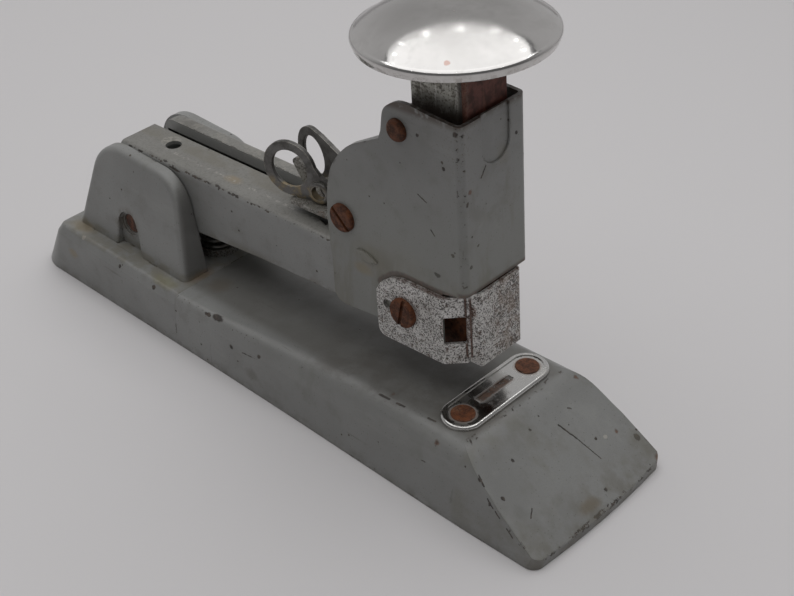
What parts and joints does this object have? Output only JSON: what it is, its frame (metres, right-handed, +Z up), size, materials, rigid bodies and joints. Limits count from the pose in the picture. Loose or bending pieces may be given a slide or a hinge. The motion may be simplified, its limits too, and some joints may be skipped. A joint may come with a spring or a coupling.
{
  "type": "stapler",
  "caption": "Heavy-duty steel desk stapler with a chromed palm knob on a sprung plunger, a lifted magazine arm with finger-ring follower, and a long open base with an anvil.",
  "frame": {"origin": "centre of the footprint, on the surface the base stands on", "axes": "+X from the pivot end to the anvil end along the base, +Y to the stapler's left seen from the pivot end, +Z up"},
  "size_m": [0.254, 0.0686, 0.1596],
  "materials": {
    "grey_enamel": "semi-gloss grey enamel with small chips",
    "chrome_plate": "bright chrome plate",
    "plated_steel": "worn plated steel with rust specks",
    "bare_steel": "bare dull steel, lightly pitted",
    "rusted_steel": "rust-browned steel",
    "spring_steel": "oiled spring wire"
  },
  "bodies": {
    "base": {"base_pan": "grey_enamel", "rear_bracket": "grey_enamel", "bracket_rivets": "rusted_steel", "anvil_plate": "chrome_plate", "anvil_rivets": "rusted_steel", "pivot_pin": "rusted_steel", "return_spring": "spring_steel", "return_spring_cup": "bare_steel"},
    "arm": {"arm_channel": "grey_enamel", "pivot_bush": "bare_steel", "magazine_channel": "bare_steel", "staple_rail": "bare_steel", "follower_rod": "bare_steel", "follower_spring": "spring_steel", "head_housing": "grey_enamel", "housing_spacer": "bare_steel", "housing_screws": "rusted_steel", "housing_rivets": "rusted_steel", "rear_guide_block": "bare_steel", "nose_guard": "plated_steel", "guard_screws": "rusted_steel", "nose_block": "bare_steel", "inner_bracket": "bare_steel", "spring_guide_rod": "bare_steel", "plunger_spring": "spring_steel"},
    "plunger": {"plunger_channel": "bare_steel", "plunger_front_plate": "rusted_steel", "driver_blade": "bare_steel", "driver_rivets": "rusted_steel", "plunger_top_block": "bare_steel", "knob_plate": "bare_steel", "knob_screw": "rusted_steel", "knob_cap": "chrome_plate"},
    "follower": {"staple_pusher": "bare_steel", "slide_plate": "plated_steel", "ring_hinge_pin": "bare_steel", "ring_spring": "spring_steel"},
    "ring_near": {"finger_ring_near": "bare_steel"},
    "ring_far": {"finger_ring_far": "bare_steel"}
  },
  "joints": [
    {"name": "arm_pivot", "type": "hinge", "parent": "base", "child": "arm", "pos_m": [-0.079, 0.0006, 0.031], "axis": [0, 1, 0], "range_deg": [0, 5.3], "stiffness_Nm_per_rad": 4, "springref_deg": -9.17, "deforming": ["return_spring"]},
    {"name": "plunger_slide", "type": "slide", "parent": "arm", "child": "plunger", "axis": [0.0785, 0, -0.9969], "range_m": [0, 0.014], "stiffness_N_per_m": 900, "springref_m": -0.01, "deforming": ["plunger_spring"]},
    {"name": "follower_slide", "type": "slide", "parent": "arm", "child": "follower", "axis": [-0.9969, 0, -0.0785], "range_m": [0, 0.055], "stiffness_N_per_m": 40, "springref_m": -0.02, "deforming": ["follower_spring"]},
    {"name": "ring_far_squeeze", "type": "hinge", "parent": "follower", "child": "ring_far", "pos_m": [0.01446, 0.0006, 0.07346], "axis": [-0.0785, 0, 0.9969], "range_deg": [0, 9], "stiffness_Nm_per_rad": 0.06, "springref_deg": -5.73, "deforming": ["ring_spring"]},
    {"name": "ring_near_squeeze", "type": "hinge", "parent": "follower", "child": "ring_near", "pos_m": [0.01446, 0.0006, 0.07346], "axis": [-0.0785, 0, 0.9969], "range_deg": [-9, 0], "stiffness_Nm_per_rad": 0.06, "springref_deg": 5.73}
  ],
  "couplings": [
    {"joint": "ring_near_squeeze", "follows": "ring_far_squeeze", "ratio": -1}
  ]
}
